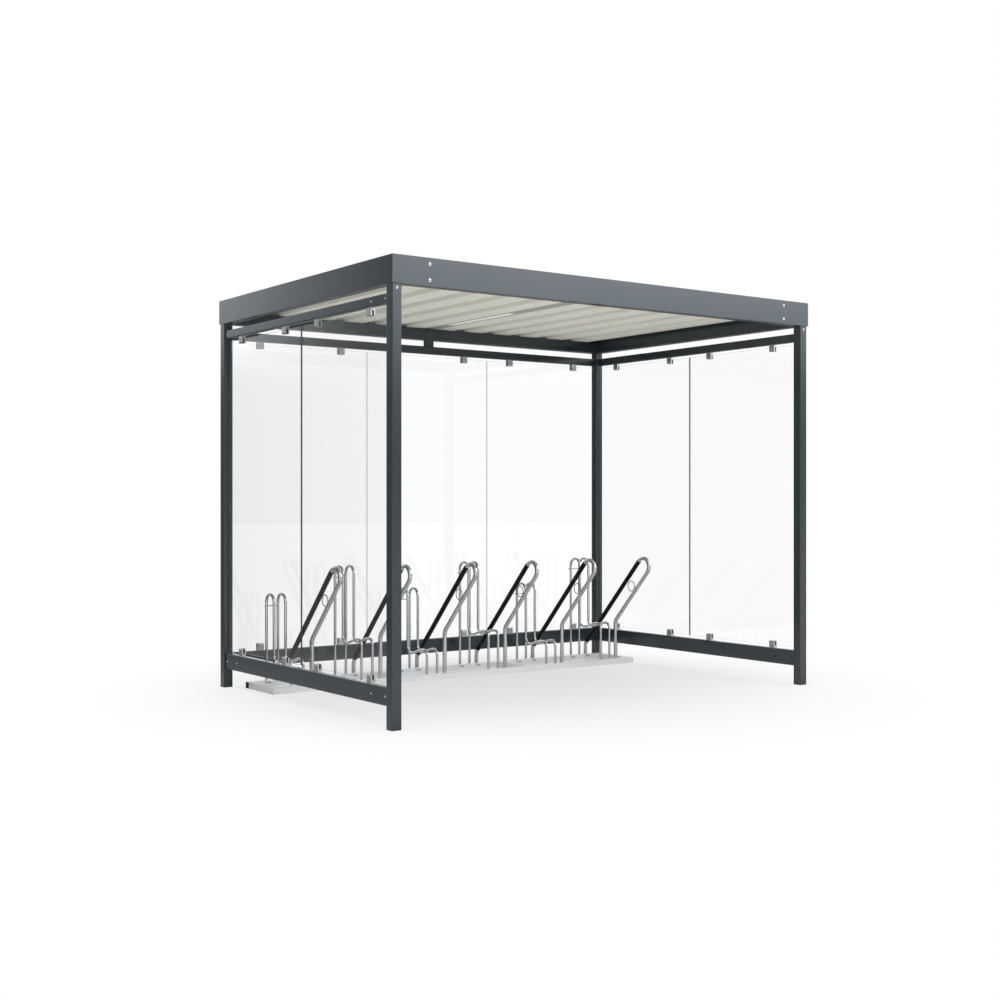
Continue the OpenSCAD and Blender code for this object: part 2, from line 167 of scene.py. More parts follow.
class Shader:
    """A node tree that ends in one Surface input, and the few ways in which a finish adds to it."""

    def __init__(self, tree: bpy.types.NodeTree, end: str) -> None:
        """Empties a node tree and gives it its end node."""
        self.tree = tree
        self.tree.nodes.clear()
        self.end = tree.nodes.new(end)

    def node(
        self,
        kind: str,
        settings: dict[str, object] | None = None,
        inputs: dict[str | int, object] | None = None,
        output: str | int = 0,
    ) -> Signal:
        """Adds one node: its settings first, then the values or links of its sockets.

        Args:
            kind: Blender's name for the node's type.
            settings: The node's own properties.
            inputs: A value or a Signal for each socket, by name or number.
            output: The output that is passed on.

        Returns:
            The chosen output.
        """
        made = self.tree.nodes.new(kind)
        for name, value in (settings or {}).items():
            setattr(made, name, value)
        for name, value in (inputs or {}).items():
            if isinstance(value, Signal):
                self.tree.links.new(value.socket, made.inputs[name])
            else:
                made.inputs[name].default_value = value
        return Signal(self, made.outputs[output])

    def close(self, surface: Signal) -> None:
        """Links a surface to the tree's end node."""
        self.tree.links.new(surface.socket, self.end.inputs["Surface"])

    def place(self, stretch: Point = EVEN) -> Signal:
        """Gives the point in the object's own metres, each axis multiplied by its stretch."""
        point = self.node("ShaderNodeTexCoord", output="Object")
        return self.node("ShaderNodeMapping", inputs={"Vector": point, "Scale": stretch})

    def noise(self, size: float, detail: float = 2.0, stretch: Point = EVEN) -> Signal:
        """Gives a cloudy value from 0 to 1, with clouds of that size in metres and some finer layers."""
        inputs = {"Vector": self.place(stretch), "Scale": 1.0 / size, "Detail": detail}
        return self.node("ShaderNodeTexNoise", inputs=inputs)

    def part(self, vector: Signal, axis: int) -> Signal:
        """Gives a vector's value along one axis."""
        return self.node("ShaderNodeSeparateXYZ", inputs={"Vector": vector}, output=axis)

    def grains(self, size: float) -> Signal:
        """Gives each crystal-like cell of that size its own value from 0 to 1."""
        cell = self.node("ShaderNodeTexVoronoi", {}, {"Vector": self.place(), "Scale": 1.0 / size}, "Color")
        return self.node("ShaderNodeSeparateColor", inputs={"Color": cell})

    def blend(self, low: Colour | Signal, high: Colour | Signal, share: Signal) -> Signal:
        """Mixes two colours, by the share of the second one."""
        return self.node("ShaderNodeMix", {"data_type": "RGBA"}, {0: share, 6: low, 7: high}, output=2)

    def mottled(self, colour: Colour, dark: float, light: float, share: Signal) -> Signal:
        """Mixes a darker and a lighter tone of one colour, each by a factor."""
        return self.blend(shaded(colour, dark), shaded(colour, light), share)

    def ray(self, kind: str) -> Signal:
        """Is 1 for rays of one kind, and 0 for the others."""
        return self.node("ShaderNodeLightPath", output=f"Is {kind} Ray")

    def seen(self) -> Signal:
        """Is 1 for what the camera sees, also through glass, and 0 for light that falls on the shelter."""
        return (self.ray("Camera") + self.ray("Transmission")).at_most(1.0)

    def bump(self, height: Signal, depth: float) -> Signal:
        """Turns a height from 0 to 1 into a surface normal, for a relief of that depth in metres."""
        return self.node("ShaderNodeBump", inputs={"Height": height, "Distance": depth, "Strength": 1.0})


class Coat(Shader):
    """A material that ends in one Principled surface."""

    def __init__(self, name: str) -> None:
        """Starts a new material of that name."""
        self.material = bpy.data.materials.new(name)
        self.material.use_nodes = True
        super().__init__(self.material.node_tree, "ShaderNodeOutputMaterial")

    def surface(self, **inputs: object) -> bpy.types.Material:
        """Closes the material with a Principled surface.

        Args:
            **inputs: The surface's sockets, with an underscore for each space in a name.

        Returns:
            The finished material.
        """
        named = {name.replace("_", " "): value for name, value in inputs.items()}
        self.close(self.node("ShaderNodeBsdfPrincipled", inputs=named))
        return self.material


# Finishes


@dataclass(frozen=True)
class PowderCoat:
    """Satin powder coat: an orange-peel skin whose tone and gloss drift slowly over the steel."""

    colour: Colour
    roughness: float = 0.18
    drift_size: float = 0.8
    peel_size: float = 0.0028
    peel_depth: float = 0.000018

    def material(self, name: str) -> bpy.types.Material:
        """Makes the material.

        Args:
            name: Its name.

        Returns:
            The material.
        """
        coat = Coat(name)
        drift = coat.noise(self.drift_size)
        speck = coat.noise(self.peel_size / 2, detail=1.0)
        peel = coat.noise(self.peel_size)
        return coat.surface(
            Base_Color=coat.mottled(self.colour, 0.86, 1.14, 0.7 * drift + 0.3 * speck),
            Roughness=self.roughness - 0.03 + 0.06 * drift,
            Normal=coat.bump(peel, self.peel_depth),
        )


@dataclass(frozen=True)
class CoilCoat:
    """Factory coating on roof sheet: smooth and low in gloss, with faint streaks from front to back."""

    colour: Colour
    roughness: float = 0.42
    streak_width: float = 0.03
    streak_stretch: Point = (1.0, 0.06, 1.0)
    cloud_size: float = 0.5
    grain_size: float = 0.004
    grain_depth: float = 0.00001

    def material(self, name: str) -> bpy.types.Material:
        """Makes the material.

        Args:
            name: Its name.

        Returns:
            The material.
        """
        coat = Coat(name)
        streak = coat.noise(self.streak_width, detail=3.0, stretch=self.streak_stretch)
        cloud = coat.noise(self.cloud_size)
        return coat.surface(
            Base_Color=self.tone(coat, 0.5 * streak + 0.5 * cloud),
            Roughness=self.roughness - 0.05 + 0.1 * streak,
            Normal=coat.bump(coat.noise(self.grain_size), self.grain_depth),
        )

    def streaked(self, coat: Coat, share: Signal, level: float) -> Signal:
        """Mixes the coating's dark and light streaks, at a level of brightness."""
        return coat.mottled(self.colour, 0.93 * level, 1.07 * level, share)

    def tone(self, coat: Coat, share: Signal) -> Signal:
        """Gives the coating the same streaks all over."""
        return self.streaked(coat, share, 1.0)


@dataclass(frozen=True)
class RibbedCoat(CoilCoat):
    """Coating on ribbed sheet: a grey top coat, and a paler back coat, darkened inside the ribs as painted
    shade.
    """

    rib_foot: float = 2.4105
    rib_shade_full_at: float = 2.414
    rib_shade_level: float = 0.82
    top_level: float = 0.72

    def tone(self, coat: Coat, share: Signal) -> Signal:
        """Gives faces that look up the top coat, and the others the back coat, with painted shade above the
        ribs' foot.

        Args:
            coat: The material's shader.
            share: The share of light streaks.

        Returns:
            The sheet's colour.
        """
        upward = coat.part(coat.node("ShaderNodeNewGeometry", output="Normal"), 2)
        # Painted shade: the back coat turns darker from the ribs' foot upwards, inside the ribs.
        inside = coat.part(coat.place(), 2).rise(self.rib_foot, self.rib_shade_full_at)
        back = coat.blend(self.streaked(coat, share, 1.0), self.streaked(coat, share, self.rib_shade_level), inside)
        return coat.blend(self.streaked(coat, share, self.top_level), back, upward.below(0.0))


@dataclass(frozen=True)
class OpalPlastic:
    """Milky diffuser of the lamp: fine prisms across its length and a slight glow."""

    colour: Colour
    glow: float = 0.25
    prism_pitch: float = 0.01885
    prism_depth: float = 0.0002
    cloud_size: float = 0.12

    def material(self, name: str) -> bpy.types.Material:
        """Makes the material.

        Args:
            name: Its name.

        Returns:
            The material.
        """
        coat = Coat(name)
        wave = coat.node(
            "ShaderNodeTexWave",
            {"wave_type": "BANDS", "bands_direction": "Y"},
            {"Vector": coat.place(), "Scale": math.tau / (WAVE_TURN * self.prism_pitch)},
            output="Fac",
        )
        cloud = coat.noise(self.cloud_size)
        return coat.surface(
            Base_Color=coat.mottled(self.colour, 0.96, 1.0, cloud),
            Roughness=0.3 + 0.1 * cloud,
            Normal=coat.bump(wave, self.prism_depth),
            Emission_Color=self.colour,
            Emission_Strength=self.glow,
        )


@dataclass(frozen=True)
class ClearGlass:
    """Clear toughened glass with ground edges.

    A face mirrors the share of light that glass throws back: 3 % when seen square on, and more at a slant by
    the fifth power of the slant. The rest passes through. The ground edge is grey-green.
    """

    across: int
    edge: Colour
    face: Colour = WHITE
    square_on: float = 0.03
    edge_cover: float = 0.92
    smear_size: float = 0.05

    def material(self, name: str) -> bpy.types.Material:
        """Makes the material.

        Args:
            name: Its name.

        Returns:
            The material.
        """
        coat = Coat(name)
        normal = coat.node("ShaderNodeNewGeometry", output="Normal")
        on_edge = abs(coat.part(normal, self.across)).below(0.5)
        slant = coat.node("ShaderNodeLayerWeight", inputs={"Blend": 0.5}, output="Facing")
        mirrored = self.square_on + (1.0 - self.square_on) * slant**5.0
        smear = coat.noise(self.smear_size)
        return coat.surface(
            Base_Color=coat.blend(self.face, self.edge, on_edge),
            Metallic=1.0 - on_edge,
            Roughness=0.01 + 0.01 * smear + 0.3 * on_edge,
            Alpha=(mirrored + self.edge_cover * on_edge).at_most(1.0),
        )


@dataclass(frozen=True)
class SatinSteel:
    """Stainless steel with fine brushing."""

    colour: Colour
    roughness: float = 0.3
    brush_width: float = 0.0006
    brush_stretch: Point = (0.05, 0.05, 1.0)
    brush_depth: float = 0.00002
    cloud_size: float = 0.03

    def material(self, name: str) -> bpy.types.Material:
        """Makes the material.

        Args:
            name: Its name.

        Returns:
            The material.
        """
        coat = Coat(name)
        brush = coat.noise(self.brush_width, detail=3.0, stretch=self.brush_stretch)
        cloud = coat.noise(self.cloud_size)
        return coat.surface(
            Base_Color=coat.mottled(self.colour, 0.88, 1.08, 0.6 * brush + 0.4 * cloud),
            Metallic=1.0,
            Roughness=self.roughness - 0.05 + 0.1 * brush,
            Normal=coat.bump(brush, self.brush_depth),
        )


@dataclass(frozen=True)
class Zinc:
    """Galvanising: crystals of zinc that differ a little in tone and gloss, over a soft, uneven skin."""

    colour: Colour
    roughness: float = 0.16
    metallic: float = 1.0
    spangle_size: float = 0.009
    skin_size: float = 0.05
    skin_depth: float = 0.00006

    def material(self, name: str) -> bpy.types.Material:
        """Makes the material.

        Args:
            name: Its name.

        Returns:
            The material.
        """
        coat = Coat(name)
        spangle = coat.grains(self.spangle_size)
        skin = coat.noise(self.skin_size, detail=3.0)
        return coat.surface(
            Base_Color=coat.mottled(self.colour, 0.94, 1.05, 0.4 * spangle + 0.6 * skin),
            Metallic=self.metallic,
            Roughness=self.roughness - 0.04 + 0.05 * spangle + 0.05 * skin,
            Normal=coat.bump(skin, self.skin_depth),
        )


@dataclass(frozen=True)
class MattRubber:
    """Black rubber: fine grain, and faint grey where it has been handled."""

    colour: Colour
    roughness: float = 0.5
    sheen: float = 0.2
    cloud_size: float = 0.06
    grain_size: float = 0.0012
    grain_depth: float = 0.00006

    def material(self, name: str) -> bpy.types.Material:
        """Makes the material.

        Args:
            name: Its name.

        Returns:
            The material.
        """
        coat = Coat(name)
        grain = coat.noise(self.grain_size)
        cloud = coat.noise(self.cloud_size, detail=4.0)
        return coat.surface(
            Base_Color=coat.mottled(self.colour, 0.7, 1.5, cloud),
            Specular_IOR_Level=self.sheen,
            Roughness=self.roughness - 0.06 + 0.12 * cloud,
            Normal=coat.bump(grain, self.grain_depth),
        )


class Paint(Enum):
    """The shelter's finishes, one material each."""

    FRAME = PowderCoat(display(42, 52, 57))
    FASCIA = PowderCoat(display(42, 52, 57), roughness=0.17)
    SHEET = RibbedCoat(display(242, 240, 227))
    LAMP = CoilCoat(display(168, 167, 163), roughness=0.4)
    DIFFUSER = OpalPlastic(display(246, 240, 230))
    SIDE_GLASS = ClearGlass(0, display(32, 40, 40))
    BACK_GLASS = ClearGlass(1, display(40, 50, 50), edge_cover=0.4)
    CLAMP = SatinSteel(display(178, 178, 174), roughness=0.34)
    BOLT = SatinSteel(display(206, 208, 210), roughness=0.24)
    PLUG = MattRubber(display(24, 25, 27))
    RUBBER = MattRubber(display(24, 24, 25))
    # One galvanising in two copies: a lighter, less metallic zinc as painted light for the bright floor that
    # rails and welds mirror, and a darker zinc as painted shade for the bars' dimmer reflections.
    ZINC = Zinc(display(234, 235, 236), roughness=0.3, metallic=0.35)
    BARS = Zinc(display(193, 194, 195))
    WIRE = SatinSteel(display(120, 121, 122))
    SLEEVE = MattRubber(display(9, 9, 10), roughness=0.42)

    def material(self) -> bpy.types.Material:
        """Gives the finish's material, made once."""
        name = f"{self.name.lower()}_finish"
        return bpy.data.materials.get(name) or self.value.material(name)


def dress(nodes: Nodes, names: list[str], paint: Paint) -> None:
    """Gives pieces of the frame a finish.

    Args:
        nodes: The frame's pieces by name.
        names: The pieces to dress.
        paint: Their finish.
    """
    for name in names:
        for slot in nodes[name].material_slots:
            slot.material = paint.material()
        LOG.info("dressed %s with %s", name, paint.name.lower())


# Surfaces


@dataclass(frozen=True)
class Surface:
    """Points and faces of a mesh: one array of faces for each number of corners."""

    points: Array
    faces: tuple[Array, ...]

    def stamped(self, places: Array, directions: Array | Point) -> "Surface":
        """Copies the surface to many places: each point turns with the Z axis, then moves to its place.

        A turn's columns are a side, an up and the direction itself, each square to the others.

        Args:
            places: One point for each copy.
            directions: Where the Z axis goes: one unit vector for each copy, or one for all.

        Returns:
            All copies as one surface.
        """
        forward = np.broadcast_to(directions, places.shape)
        helper = np.where(np.abs(forward[:, 2:]) < 0.9, UP, (0.0, 1.0, 0.0))
        side = np.cross(helper, forward)
        side /= np.linalg.norm(side, axis=1, keepdims=True)
        turns = np.stack((side, np.cross(forward, side), forward), axis=-1)
        moved = np.einsum("cij,nj->cni", turns, self.points) + places[:, None, :]
        first = (np.arange(len(places)) * len(self.points))[:, None, None]
        faces = tuple((kind[None] + first).reshape(-1, kind.shape[1]) for kind in self.faces)
        return Surface(moved.reshape(-1, 3), faces)

    def __add__(self, other: "Surface") -> "Surface":
        """Puts two surfaces into one, side by side."""
        moved = tuple(kind + len(self.points) for kind in other.faces)
        return Surface(np.vstack((self.points, other.points)), self.faces + moved)


def grid_faces(rows: int, columns: int, close_rows: bool) -> Array:
    """Lists the four-cornered faces of a grid whose columns close into a ring.

    A face joins a point, the next point of its row, and the two beside them in the next row.

    Args:
        rows: Number of rows.
        columns: Number of points in a row.
        close_rows: Whether the last row joins the first one.

    Returns:
        The faces, as indices of points.
    """
    row = np.arange(rows if close_rows else rows - 1)[:, None] * columns
    next_row = (row + columns) % (rows * columns)
    column = np.arange(columns)
    beside = (column + 1) % columns
    around = (row + column, row + beside, next_row + beside, next_row + column)
    return np.stack(around, axis=-1).reshape(-1, 4)


def capped_rings(rings: Array) -> Surface:
    """Skins a stack of rings, and closes its first and last ring with a flat cap.

    Args:
        rings: Points by ring, then round the ring.

    Returns:
        The closed surface.
    """
    rows, columns = rings.shape[:2]
    round_once = np.arange(columns)
    caps = np.stack((round_once[::-1], (rows - 1) * columns + round_once))
    return Surface(rings.reshape(-1, 3), (grid_faces(rows, columns, False), caps))


def extruded(outline: Array, way: Point) -> Surface:
    """Draws an outline, counter-clockwise as seen from the way's end, along the way and closes both ends."""
    return capped_rings(np.stack((outline, outline + way)))


def turned(profile: Array, sides: int) -> Surface:
    """Turns a profile round the Z axis: x = r cos t, y = r sin t, with r and z from the profile.

    Args:
        profile: Rows of radius and height, from the foot up.
        sides: Number of steps in the turn.

    Returns:
        The closed surface.
    """
    angle = np.arange(sides) * math.tau / sides
    radius, height = profile[:, :1], profile[:, 1:]
    x, y, z = np.broadcast_arrays(radius * np.cos(angle), radius * np.sin(angle), height)
    return capped_rings(np.stack((x, y, z), axis=-1))


def crossings(columns: Array, rows: list[float], height: float) -> Array:
    """Lists the points where columns along X cross rows along Y, row by row and at one height."""
    x, y = (axis.ravel() for axis in np.meshgrid(columns, rows))
    return np.stack((x, y, np.full_like(x, height)), axis=-1)


def add_piece(name: str, surface: Surface, paint: Paint) -> None:
    """Puts a surface into the scene as a piece of the shelter.

    Args:
        name: The piece's name.
        surface: Its mesh.
        paint: Its finish.
    """
    mesh = bpy.data.meshes.new(name)
    mesh.from_pydata(surface.points.tolist(), [], [face for kind in surface.faces for face in kind.tolist()])
    mesh.shade_smooth()
    mesh.set_sharp_from_angle(angle=SHARP_EDGE)
    mesh.materials.append(paint.material())
    piece = bpy.data.objects.new(name, mesh)
    bpy.context.scene.collection.objects.link(piece)
    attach(piece, BODY)
    LOG.info("built %s: %d faces", name, len(mesh.polygons))


# Fasteners and weld beads


def rim(radius: float, height: float, bevel: float) -> list[Span]:
    """Gives a disc's edge as radius and height: straight up, then in by a share of the height."""
    cut = height * bevel
    return [(radius, 0.0), (radius, height - cut), (radius - cut, height)]


@dataclass(frozen=True)
class DomeBolt:
    """Dome-headed bolt on a flat washer."""

    washer_r: float = 0.0115
    washer_t: float = 0.0016
    head_r: float = 0.0088
    head_h: float = 0.0062
    neck: float = 1.6
    dome_end_deg: float = 78.0
    sides: int = 20
    steps: int = 6

    def surface(self) -> Surface:
        """Makes the bolt: the washer's rim, then a dome of radius head_r cos a and height head_h sin a.

        Returns:
            The bolt, which stands on the origin.
        """
        angle = np.linspace(0.0, math.radians(self.dome_end_deg), self.steps)
        washer = [*rim(self.washer_r, self.washer_t, bevel=0.35), (self.head_r, self.washer_t)]
        height = self.washer_t * self.neck + self.head_h * np.sin(angle)
        dome = np.stack((self.head_r * np.cos(angle), height), axis=1)
        return turned(np.vstack((washer, dome)), self.sides)


@dataclass(frozen=True)
class SocketScrew:
    """Low screw head with a round-bottomed socket."""

    head_r: float = 0.0055
    head_h: float = 0.0024
    socket_r: float = 0.0026
    socket_depth: float = 0.0018
    socket_taper: float = 0.9
    sides: int = 18

    def surface(self) -> Surface:
        """Makes the screw: up the bevelled rim, in to the socket's edge and down its wall.

        Returns:
            The screw, which stands on the origin.
        """
        head = rim(self.head_r, self.head_h, bevel=0.3)
        floor = (self.socket_r * self.socket_taper, self.head_h - self.socket_depth)
        return turned(np.array([*head, (self.socket_r, self.head_h), floor]), self.sides)


@dataclass(frozen=True)
class HexBolt:
    """Hexagon bolt head on a round washer."""

    washer_r: float = 0.008
    washer_t: float = 0.0014
    across_corners: float = 0.0092
    head_h: float = 0.0048
    sunk: float = 0.9
    bevel_h: float = 0.18
    bevel_r: float = 0.84
    sides: int = 16

    def surface(self) -> Surface:
        """Makes the washer, and over it a six-sided head with a bevelled top.

        Returns:
            The bolt, which stands on the origin.
        """
        washer = np.array(rim(self.washer_r, self.washer_t, bevel=0.3))
        corner = self.across_corners / 2
        top = self.washer_t + self.head_h
        head = np.array([
            (corner, self.washer_t * self.sunk),
            (corner, top - self.head_h * self.bevel_h),
            (corner * self.bevel_r, top),
        ])
        return turned(washer, self.sides) + turned(head, 6)


@dataclass(frozen=True)
class WeldRing:
    """Rippled weld bead round the foot of a bar."""

    bar_r: float
    bead_r: float = 0.0032
    ripple: float = 0.14
    ripples: int = 17
    sides: int = 68
    steps: int = 8

    def surface(self) -> Surface:
        """Makes a ring: at angle t round the bar, a circle of radius bead_r (1 + ripple sin(ripples t)).

        Returns:
            The bead, which lies level round the origin.
        """
        angle = np.arange(self.sides)[None, :] * math.tau / self.sides
        turn = np.arange(self.steps)[:, None] * math.tau / self.steps
        bead = self.bead_r * (1.0 + self.ripple * np.sin(self.ripples * angle))
        reach = self.bar_r + bead * np.cos(turn)
        x, y, z = np.broadcast_arrays(reach * np.cos(angle), reach * np.sin(angle), bead * np.sin(turn))
        points = np.stack((x, y, z), axis=-1).reshape(-1, 3)
        return Surface(points, (grid_faces(self.steps, self.sides, True),))


@dataclass(frozen=True)
class WeldSeam:
    """Rippled weld bead along a straight edge, drawn along Z."""

    length: float
    bead_r: float = 0.003
    ripple: float = 0.14
    ripple_pitch: float = 0.004
    sides: int = 8

    def surface(self) -> Surface:
        """Makes a rod of radius bead_r (1 + ripple sin(2 pi s / pitch)) sqrt(1 - u^6), u from end to end.

        Returns:
            The bead along Z, with its middle at the origin.
        """
        count = max(12, round(4 * self.length / self.ripple_pitch))
        along = np.linspace(-0.98, 0.98, count)
        ripple = 1.0 + self.ripple * np.sin(math.tau * along * self.length / 2 / self.ripple_pitch)
        profile = np.stack((self.bead_r * ripple * np.sqrt(1.0 - along**6), along * self.length / 2), axis=1)
        return turned(profile, self.sides)


# Sub-assemblies


LEFT_RIGHT = ("left", "right")
FRONT_BACK = ("front", "back")
POSTS = [f"post_{depth}_{side}" for depth in FRONT_BACK for side in LEFT_RIGHT]
SIDE_PANES = [f"glass_{side}_{i}" for side in LEFT_RIGHT for i in (1, 2)]
BACK_PANES = [f"glass_back_{i}" for i in (1, 2, 3)]


def corners(node: str) -> tuple[Array, Array]:
    """Gives the lowest and highest corner of one of the frame's pieces."""
    low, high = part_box(node)
    return np.array(low), np.array(high)


@dataclass
class SteelFrame:
    """Posts, roof beams and wall rails, with the bolts that join them."""

    post_bolt_below_top: float = 0.022
    rail_bolts_from_end: Span = (0.025, 0.170)
    post_bolt: DomeBolt = DomeBolt(washer_r=0.0078, washer_t=0.0012, head_r=0.006, head_h=0.0045)
    rail_bolt: DomeBolt = DomeBolt(washer_r=0.0068, washer_t=0.001, head_r=0.0052, head_h=0.004)

    def dress(self, nodes: Nodes) -> None:
        """Powder-coats the steel.

        Args:
            nodes: The frame's pieces by name.
        """
        beams = [f"roof_beam_{side}" for side in (*FRONT_BACK, *LEFT_RIGHT)]
        rails = [f"{level}_rail_{side}" for level in ("lower", "upper") for side in (*LEFT_RIGHT, "back")]
        dress(nodes, POSTS + beams + rails, Paint.FRAME)

    def build(self) -> None:
        """Adds the bolts through the posts and through the rail ends."""
        self._build_bolts("post", self.post_bolt, self._post_bolts())
        self._build_bolts("rail", self.rail_bolt, self._rail_bolts())

    def _build_bolts(self, name: str, bolt: DomeBolt, ends: BoltEnds) -> None:
        """Adds bolts that show bright on the outer faces, and end in dark plugs on the inner ones.

        Args:
            name: What the bolts go through.
            bolt: Their shape.
            ends: Their outer ends, their inner ends, and the way out.
        """
        outside, inside, out = ends
        head = bolt.surface()
        add_piece(f"{name}_bolts", head.stamped(outside, out), Paint.BOLT)
        add_piece(f"{name}_plugs", head.stamped(inside, -out), Paint.PLUG)

    def _post_bolts(self) -> BoltEnds:
        """Places one bolt through every post from front to back.

        Returns:
            The bolts' outer ends, their inner ends, and the way out.
        """
        outside, inside, directions = [], [], []
        for name in POSTS:
            low, high = corners(name)
            x, z = (low[0] + high[0]) / 2, high[2] - self.post_bolt_below_top
            outer, inner, sign = (low[1], high[1], -1.0) if "front" in name else (high[1], low[1], 1.0)
            outside.append((x, outer, z))
            inside.append((x, inner, z))
            directions.append((0.0, sign, 0.0))
        return np.array(outside), np.array(inside), np.array(directions)

    def _rail_bolts(self) -> BoltEnds:
        """Places two bolts at each end of every wall rail, at its mid height.

        The upper back rail carries a strut, so a rail's top is read from the left rail of its level.

        Returns:
            The bolts' outer ends, their inner ends, and the way out.
        """
        outside, inside, directions = [], [], []
        for level in ("lower", "upper"):
            for side, across, sign in (("left", 0, -1.0), ("right", 0, 1.0), ("back", 1, 1.0)):
                low, high = corners(f"{level}_rail_{side}")
                along = 1 - across
                outer, inner = (high, low) if sign > 0 else (low, high)
                height = (low[2] + corners(f"{level}_rail_left")[1][2]) / 2
                gaps = np.array(self.rail_bolts_from_end)
                for run in (*(low[along] + gaps), *(high[along] - gaps)):
                    for ends, face in ((outside, outer), (inside, inner)):
                        place = np.full(3, height)
                        place[along] = run
                        place[across] = face[across]
                        ends.append(place)
                    directions.append(sign * np.eye(3)[across])
        return np.array(outside), np.array(inside), np.array(directions)


@dataclass
class Roof:
    """Fascia, ribbed sheet and lamp, with bolts, screws and the strips along the sheet's sides."""

    bolt_from_end: float = 0.230
    bolt_drops: Span = (0.033, 0.119)
    rib_pitch: float = 0.246
    valleys: int = 12
    sheet_t: float = 0.001
    strip_t: float = 0.0015
    strip_foot: float = 0.015
    strip_lap: float = 0.020
    bolt: DomeBolt = DomeBolt(washer_r=0.0093, washer_t=0.0014, head_r=0.0072, head_h=0.0052)
    screw: HexBolt = HexBolt()

    def dress(self, nodes: Nodes) -> None:
        """Coats the fascia, sheet and lamp.

        Args:
            nodes: The frame's pieces by name.
        """
        dress(nodes, [f"fascia_{side}" for side in (*FRONT_BACK, *LEFT_RIGHT)], Paint.FASCIA)
        dress(nodes, ["roof_sheet"], Paint.SHEET)
        dress(nodes, ["lamp_channel"], Paint.LAMP)
        dress(nodes, ["lamp_diffuser"], Paint.DIFFUSER)

    def build(self) -> None:
        """Adds the fascia bolts, the sheet's screws and the strips along its sides."""
        self._build_fascia_bolts()
        self._build_sheet_screws()
        self._build_edge_strips()

    def _build_fascia_bolts(self) -> None:
        """Adds two bolts, one over the other, near each end of the front and back fascia."""
        places, directions = [], []
        for side, sign in (("front", -1.0), ("back", 1.0)):
            low, high = corners(f"fascia_{side}")
            face = low[1] if sign < 0 else high[1]
            for x in (low[0] + self.bolt_from_end, high[0] - self.bolt_from_end):
                for drop in self.bolt_drops:
                    places.append((x, face, high[2] - drop))
                    directions.append((0.0, sign, 0.0))
        surface = self.bolt.surface().stamped(np.array(places), np.array(directions))
        add_piece("fascia_bolts", surface, Paint.BOLT)

    def _build_sheet_screws(self) -> None:
        """Adds a screw in every valley of the sheet, over the front beam and over the back beam."""
        valleys = (np.arange(self.valleys) - (self.valleys - 1) / 2) * self.rib_pitch
        beams = [corners(f"roof_beam_{side}") for side in FRONT_BACK]
        middles = [(low[1] + high[1]) / 2 for low, high in beams]
        places = crossings(valleys, middles, beams[0][1][2] + self.sheet_t)
        add_piece("roof_screws", self.screw.surface().stamped(places, UP), Paint.BOLT)

    def _build_edge_strips(self) -> None:
        """Adds a folded strip along both sides of the sheet, which closes it down to the side beam.

        The section is a Z: a foot on the beam, an upright over the beam's inner edge and a lap over the
        sheet. It is drawn from the sheet's back end to its front end, and mirrored for the left side.
        """
        sheet_low, sheet_high = corners("roof_sheet")
        beam_low, beam_high = corners("roof_beam_right")
        inner, outer = beam_low[0], beam_low[0] + self.strip_t
        bottom, top, back = beam_high[2], sheet_high[2], sheet_high[1]
        right = np.array([
            (inner, back, bottom),
            (outer + self.strip_foot, back, bottom),
            (outer + self.strip_foot, back, bottom + self.strip_t),
            (outer, back, bottom + self.strip_t),
            (outer, back, top + self.strip_t),
            (sheet_high[0] - self.strip_lap, back, top + self.strip_t),
            (sheet_high[0] - self.strip_lap, back, top),
            (inner, back, top),
        ])
        left = right[::-1] * (-1.0, 1.0, 1.0)
        way = (0.0, sheet_low[1] - back, 0.0)
        strips = extruded(right, way) + extruded(left, way)
        add_piece("roof_edge_strips", strips, Paint.FRAME)


@dataclass
class GlassWalls:
    """Glass panes, and the clamps that hold them to the wall rails."""

    clamp_inset: float = 0.200
    clamp_t: float = 0.028
    screw_from_rail: float = 0.032
    screw: SocketScrew = SocketScrew()

    def dress(self, nodes: Nodes) -> None:
        """Gives the panes, clamps and liners their finishes.

        Args:
            nodes: The frame's pieces by name.
        """
        dress(nodes, SIDE_PANES, Paint.SIDE_GLASS)
        dress(nodes, BACK_PANES, Paint.BACK_GLASS)
        dress(nodes, [f"clamps_{side}" for side in (*LEFT_RIGHT, "back")], Paint.CLAMP)
        dress(nodes, ["clamp_pads"], Paint.RUBBER)

    def build(self) -> None:
        """Adds a screw on both faces of every clamp."""
        low_z = corners("lower_rail_back")[1][2] + self.screw_from_rail
        high_z = corners("upper_rail_back")[0][2] - self.screw_from_rail
        places, directions = [], []
        for name in SIDE_PANES + BACK_PANES:
            low, high = corners(name)
            along, across = (0, 1) if "back" in name else (1, 0)
            middle = (low[across] + high[across]) / 2
            for run in (low[along] + self.clamp_inset, high[along] - self.clamp_inset):
                for z in (low_z, high_z):
                    for sign in (-1.0, 1.0):
                        place = np.array((0.0, 0.0, z))
                        place[along] = run
                        place[across] = middle + sign * self.clamp_t / 2
                        places.append(place)
                        directions.append(sign * np.eye(3)[across])
        surface = self.screw.surface().stamped(np.array(places), np.array(directions))
        add_piece("clamp_screws", surface, Paint.BOLT)


